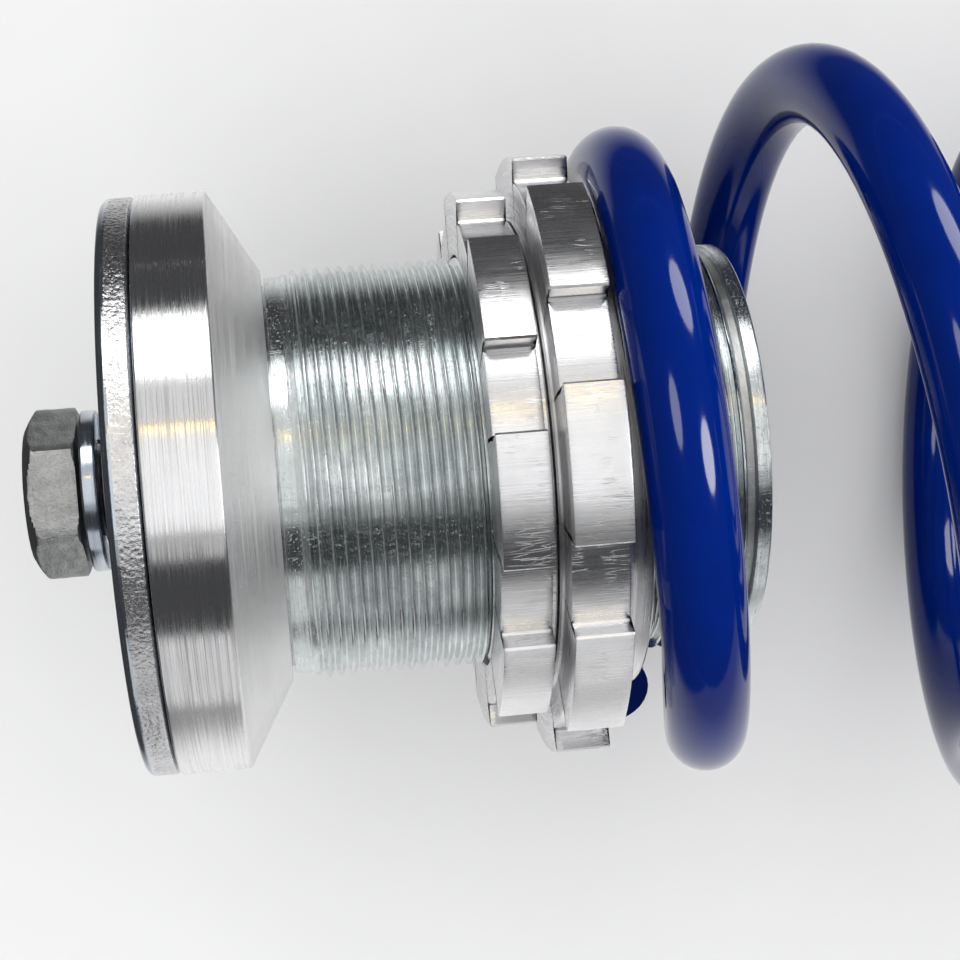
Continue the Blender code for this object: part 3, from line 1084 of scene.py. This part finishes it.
@dataclass
class CoilSpring:
    """The coated coil spring, closed and ground at both ends."""

    wire_r: float = 5.2 * MM
    end_coil_r: float = 36.65 * MM
    body_coil_r: float = 45.58 * MM
    growth_start: float = 0.79
    growth_turns: float = 0.55
    pitch_start: float = 0.778
    pitch_turns: float = 0.45
    closed_start: float = 0.098
    closed_ease: float = 0.3
    end_start: float = 4.2 * MM
    end_pitch: float = 13.2 * MM
    body_pitch: float = 41.0 * MM
    lean: float = radians(5.6)
    lean_turns: float = 0.6
    late_start: float = 1.6
    late_turns: float = 0.4
    pitch_loss: float = 2.5 * MM
    lean_loss: float = 0.25
    tip_angle: float = radians(204.0)
    steps_per_turn: int = 96
    sides: int = 28
    length: float = 176.358 * MM
    turns: float = field(init=False)

    def __post_init__(self) -> None:
        """Work out how many turns the free length takes."""
        gain = self.body_pitch - self.end_pitch
        extra = self.end_pitch * (2.0 * self.closed_start + self.closed_ease)
        extra += gain * (2.0 * self.pitch_start + self.pitch_turns)
        extra -= self.pitch_loss * (2.0 * self.late_start + self.late_turns)
        self.turns = (self.length - 2.0 * self.end_start + extra) / (self.body_pitch - self.pitch_loss)

    @staticmethod
    def eased(turn: float, start: float, length: float) -> float:
        """Count the turns gone since a start, with the first turns eased in.

        Args:
            turn: turns from the tip.
            start: where the count starts.
            length: turns over which it eases in.

        Returns:
            The eased count.
        """
        past = turn - start
        blend = min(max(past / length, 0.0), 1.0)
        return length * (blend ** 3 - blend ** 4 / 2.0) + max(past - length, 0.0)

    def rise(self, turn: float) -> float:
        """Work out how far the wire's middle has risen.

        Args:
            turn: turns from the nearer end of the spring.

        Returns:
            Metres above that end's ground face.
        """
        closed = self.end_start + self.end_pitch * self.eased(turn, self.closed_start, self.closed_ease)
        opened = (self.body_pitch - self.end_pitch) * self.eased(turn, self.pitch_start, self.pitch_turns)
        late = self.pitch_loss * self.eased(turn, self.late_start, self.late_turns)
        return closed + opened - late

    def centre(self, turn: float) -> Vector:
        """Find the middle of the wire.

        Args:
            turn: turns from the seated tip.

        Returns:
            The point, measured from the seat on the axis.
        """
        from_end = min(turn, self.turns - turn)
        opened = smooth((from_end - self.growth_start) / self.growth_turns)
        radius = self.end_coil_r + (self.body_coil_r - self.end_coil_r) * opened
        rise = self.rise(from_end)
        if turn > self.turns / 2.0:
            rise = self.length - rise
        angle = self.tip_angle + TURN * turn
        lean = tan(self.lean) * smooth(from_end / self.lean_turns)
        lean *= 1.0 - self.lean_loss * smooth((from_end - self.late_start) / (1.5 * self.late_turns))
        return Vector((rise - lean * radius * sin(angle), radius * cos(angle), radius * sin(angle)))

    def build(self) -> None:
        """Sweep the wire, grind both ends flat and dress the spring."""
        seat = Vector((low("coil_spring").x, 0.0, 0.0))
        rows = []
        count = round(self.turns * self.steps_per_turn)
        for k in range(count + 1):
            turn = self.turns * k / count
            angle = self.tip_angle + TURN * turn
            outward = Vector((0.0, cos(angle), sin(angle)))
            along = self.centre(min(turn + 0.004, self.turns)) - self.centre(max(turn - 0.004, 0.0))
            side = along.normalized().cross(outward).normalized()
            if side.x < 0.0:
                side.negate()
            middle = seat + self.centre(turn)
            bends = [TURN * j / self.sides for j in range(self.sides)]
            rows.append([middle + self.wire_r * (cos(a) * outward + sin(a) * side) for a in bends])
        item = Mesher.grid("coil_spring_detail", rows, False)
        self._grind(item, seat.x)
        Piece("coil_spring", Body.SPRING, Slot.BLUE_COAT).dress(item, BLUE_COAT.build())

    def _grind(self, item: bpy.types.Object, seat: float) -> None:
        """Cut both ends square to the axis.

        Args:
            item: the spring.
            seat: where its seated end stands along X.
        """
        shape = bmesh.new()
        shape.from_mesh(item.data)
        for station, direction in ((seat, -1.0), (seat + self.length, 1.0)):
            everything = shape.verts[:] + shape.edges[:] + shape.faces[:]
            cut = bmesh.ops.bisect_plane(shape, geom=everything, dist=TINY, plane_co=(station, 0, 0),
                                         plane_no=(direction, 0, 0), clear_outer=True)
            rim = [part for part in cut["geom_cut"] if isinstance(part, bmesh.types.BMEdge)]
            bmesh.ops.contextual_create(shape, geom=rim)
        bmesh.ops.recalc_face_normals(shape, faces=shape.faces)
        shape.to_mesh(item.data)
        shape.free()
        item.data.shade_smooth()
        item.data.set_sharp_from_angle(angle=radians(SHARP_ANGLE))


# --------------------------------------------------------------------------- studio

class Outline(Enum):
    """Outline of a soft box."""

    RECTANGLE = "RECTANGLE"
    ELLIPSE = "ELLIPSE"


@dataclass
class Studio:
    """The pale table, the soft boxes and the camera."""

    floor_colour: Colour = (0.86, 0.86, 0.86)
    card_colour: Colour = (0.05, 0.05, 0.052)
    gold: Colour = (1.0, 0.62, 0.08)
    lens: float = 71.2
    sensor_width: float = 36.0
    camera_height: float = 247.5 * MM
    camera_offset: float = 0.5 * MM
    camera_turn: tuple[float, float, float] = (radians(-0.13), radians(-5.99), radians(-4.66))
    table_z: float = CAD_BOX[0][2] - 0.4 * MM
    card_z: float = CAD_BOX[0][2] + 0.6 * MM
    metal: bpy.types.Collection = field(init=False)
    coat: bpy.types.Collection = field(init=False)

    def __post_init__(self) -> None:
        """Sort the pieces by the lights they take."""
        self.metal = bpy.data.collections.new("takes_broad_light")
        self.coat = bpy.data.collections.new("takes_narrow_light")
        for item in bpy.context.scene.objects:
            if item.type == "MESH" and item.name.endswith("_detail"):
                (self.coat if item.name.startswith("coil_spring") else self.metal).objects.link(item)

    @staticmethod
    def panel(name: str, length: float, width: float, radiance: float,
              receivers: bpy.types.Collection) -> bpy.types.Object:
        """Make a light panel at the origin that faces down.

        Args:
            name: the light's name.
            length: metres along X.
            width: metres along Y.
            radiance: how bright its face is; 1 is as bright as white.
            receivers: the pieces that it lights.

        Returns:
            The panel.
        """
        light = bpy.data.lights.new(name, "AREA")
        light.shape = Outline.RECTANGLE.value
        light.size = length
        light.size_y = width
        light.energy = pi * radiance * length * width
        item = bpy.data.objects.new(name, light)
        item.light_linking.receiver_collection = receivers
        bpy.context.scene.collection.objects.link(item)
        return item

    def soft_box(self, name: str, start: float, stop: float, radiance: float, length: float,
                 receivers: bpy.types.Collection, middle: float = -0.05,
                 outline: Outline = Outline.RECTANGLE) -> bpy.types.Object:
        """Hang a light panel around the axis.

        Args:
            name: the light's name.
            start: where it begins, in degrees from straight above, positive towards -Y.
            stop: where it ends.
            radiance: how bright its face is; 1 is as bright as white.
            length: metres along X.
            receivers: the pieces that it lights.
            middle: where its middle is along X.
            outline: the outline of the panel.

        Returns:
            The panel.
        """
        distance = 0.6
        turn = radians(0.5 * (start + stop))
        width = 2.0 * distance * tan(radians(stop - start) / 2.0)
        item = self.panel(name, length, width, radiance, receivers)
        item.data.shape = outline.value
        item.location = (middle, -sin(turn) * distance, cos(turn) * distance)
        item.rotation_euler = (turn, 0.0, 0.0)
        return item

    def lights(self) -> None:
        """Hang the soft boxes: broad ones for the metal and narrow ones for the coated spring."""
        self.soft_box("key_box", -65.0, -41.0, 3.4, 0.55, self.metal)
        self.soft_box("middle_box", -41.0, -22.0, 0.72, 0.9, self.metal)
        self.soft_box("overhead_box", -21.0, 18.0, 1.0, 0.9, self.metal)
        self.soft_box("fading_box", 18.5, 28.0, 0.45, 0.9, self.metal)
        self.soft_box("front_box", 58.0, 92.0, 0.65, 0.7, self.metal)
        warm = self.soft_box("warm_strip", -20.9, -19.7, 4.0, 0.40, self.metal)
        warm.data.color = self.gold
        self.soft_box("coil_key", -68.0, -42.0, 8.0, 0.50, self.coat, 0.35, Outline.ELLIPSE)
        self.soft_box("coil_near", -22.0, 4.0, 5.8, 0.26, self.coat, -0.33, Outline.ELLIPSE)
        self.soft_box("coil_far", -10.0, 18.0, 15.0, 0.50, self.coat, 0.48, Outline.ELLIPSE)
        end_box = self.panel("end_box", 0.3, 0.3, 3.8, self.metal)
        end_box.location = (0.5, -0.01, 0.35)
        end_box.rotation_euler = (0.0, radians(60.0), 0.0)

    def surroundings(self) -> None:
        """Light the table evenly from all sides and keep reflections dark."""
        world = bpy.data.worlds.new("surroundings")
        bpy.context.scene.world = world
        world.use_nodes = True
        world.cycles.sampling_method = "NONE"
        graph = NodeGraph(world.node_tree)
        path = graph.add("ShaderNodeLightPath").outputs
        tone = graph.colour_mix(path["Is Diffuse Ray"], rgba((0.06, 0.061, 0.063)), rgba((1.18, 1.18, 1.18)))
        tone = graph.colour_mix(path["Is Camera Ray"], tone, rgba((0.84, 0.84, 0.84)))
        graph.feed(world.node_tree.nodes["Background"], {"Color": tone})

    @staticmethod
    def sheet(name: str, half: float, z: float, roughness: float,
              specular: float) -> tuple[bpy.types.Object, NodeGraph, bpy.types.Node]:
        """Lay a square sheet that isn't part of the object.

        Args:
            name: its name.
            half: half its side in metres.
            z: its height.
            roughness: its roughness.
            specular: its specular level.

        Returns:
            The sheet, its material's graph and its shader node.
        """
        mesh = bpy.data.meshes.new(name)
        corners = [(-half, -half, z), (half, -half, z), (half, half, z), (-half, half, z)]
        mesh.from_pydata(corners, [], [(0, 1, 2, 3)])
        item = bpy.data.objects.new(name, mesh)
        bpy.context.scene.collection.objects.link(item)
        material = bpy.data.materials.new(name + "_paper")
        material.use_nodes = True
        mesh.materials.append(material)
        graph = NodeGraph(material.node_tree)
        shader = material.node_tree.nodes["Principled BSDF"]
        graph.feed(shader, {"Roughness": roughness, "Specular IOR Level": specular})
        return item, graph, shader

    def table(self) -> None:
        """Lay the table under the widest coils."""
        _, graph, shader = self.sheet("table", 1.5, self.table_z, 0.7, 0.2)
        grain = graph.fit(graph.noise(graph.place(), 30.0, 3.0, 0.5), 0.3, 0.7)
        tone = graph.colour_mix(grain, rgba(self.floor_colour), rgba(self.floor_colour, 0.975))
        graph.feed(shader, {"Base Color": tone})

    def dark_card(self) -> None:
        """Lay a card that only reflections see: pale near the object, dark behind it and at its left."""
        item, graph, shader = self.sheet("dark_card", 1.4, self.card_z, 0.9, 0.0)
        item.visible_camera = item.visible_diffuse = item.visible_shadow = False
        x, y, _ = graph.split(graph.place())
        behind = graph.fit(y, 0.065, 0.13)
        left = graph.fit(x, -0.118, -0.15)
        front = graph.fit(y, -0.10, -0.26, 0.0, 0.5)
        dark = graph.larger(graph.larger(behind, left), front)
        tone = graph.colour_mix(dark, rgba(self.floor_colour), rgba(self.card_colour))
        graph.feed(shader, {"Base Color": tone})

    def camera(self) -> None:
        """Place the camera above the sleeve's shoulder."""
        data = bpy.data.cameras.new("camera")
        data.lens = self.lens
        data.sensor_width = self.sensor_width
        data.clip_start = 0.01
        item = bpy.data.objects.new("camera", data)
        shoulder = low("threaded_sleeve").x + Sleeve.foot_length
        item.location = (shoulder + self.camera_offset, 0.0, self.camera_height)
        item.rotation_euler = self.camera_turn
        bpy.context.scene.collection.objects.link(item)
        bpy.context.scene.camera = item

    def build(self) -> None:
        """Set up everything around the object."""
        self.table()
        self.dark_card()
        self.lights()
        self.surroundings()
        self.camera()
        settings = bpy.context.scene.view_settings
        settings.view_transform = "Standard"
        settings.look = "None"


def main() -> None:
    """Build every sub-assembly, then the studio."""
    logging.basicConfig(level=logging.INFO, format="%(name)s %(message)s")
    BoltSet().build()
    Base().build()
    Sleeve().build()
    SlottedRing("lock_ring", Body.LOCK, slot_width=11.0 * MM, slot_turn=radians(31.2), width=6.2 * MM,
                high_boss=0.7 * MM).build()
    SlottedRing("adjuster_ring", Body.ADJUSTER, slot_width=11.6 * MM, slot_turn=radians(24.7),
                width=7.0 * MM, high_boss=4.0 * MM, low_boss=0.5 * MM, high_boss_r=30.6 * MM).build()
    CoilSpring().build()
    Studio().build()


if __name__ == "__main__":
    main()
